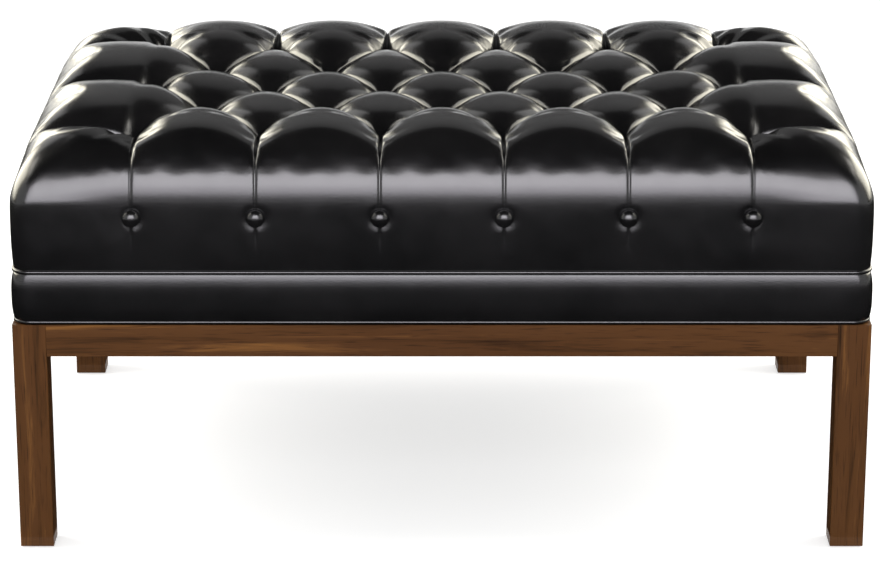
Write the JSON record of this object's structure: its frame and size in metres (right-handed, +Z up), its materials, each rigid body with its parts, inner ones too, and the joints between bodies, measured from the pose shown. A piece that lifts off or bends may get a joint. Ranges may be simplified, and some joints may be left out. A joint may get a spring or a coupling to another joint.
{
  "type": "tufted footstool",
  "caption": "Rectangular footstool with a deep diamond-tufted leather top and a plain leather border on a square-legged wooden base.",
  "frame": {"origin": "on the floor under the middle of the footstool", "axes": "+X along the length to the right, +Y from front to back, +Z up"},
  "size_m": [0.9166, 0.6126, 0.459],
  "materials": {
    "black_leather": "semi-gloss black leather",
    "walnut": "satin walnut stain",
    "frame_wood": "bare plywood and hardwood",
    "foam": "open-cell foam",
    "cambric": "black woven dust cover",
    "twine": "waxed tufting twine",
    "steel": "zinc-plated steel",
    "plastic": "dark moulded nylon"
  },
  "bodies": {
    "root": {"tufted_cover": "black_leather", "top_buttons": "black_leather", "front_buttons": "black_leather", "back_buttons": "black_leather", "left_buttons": "black_leather", "right_buttons": "black_leather", "upper_welt": "black_leather", "lower_welt": "black_leather", "border_band": "black_leather", "foam_core": "foam", "tufting_twines": "twine", "twine_toggles": "plastic", "deck": "frame_wood", "deck_screws": "steel", "frame_rail_front": "frame_wood", "frame_rail_back": "frame_wood", "frame_rail_left": "frame_wood", "frame_rail_right": "frame_wood", "frame_braces": "frame_wood", "frame_corner_blocks": "frame_wood", "dust_cover": "cambric", "leg_front_left": "walnut", "leg_front_right": "walnut", "leg_back_left": "walnut", "leg_back_right": "walnut", "apron_front": "walnut", "apron_back": "walnut", "apron_left": "walnut", "apron_right": "walnut", "base_corner_blocks": "walnut", "corner_block_screws": "steel", "top_mounting_screws": "steel", "foot_glides": "plastic"}
  },
  "joints": []
}
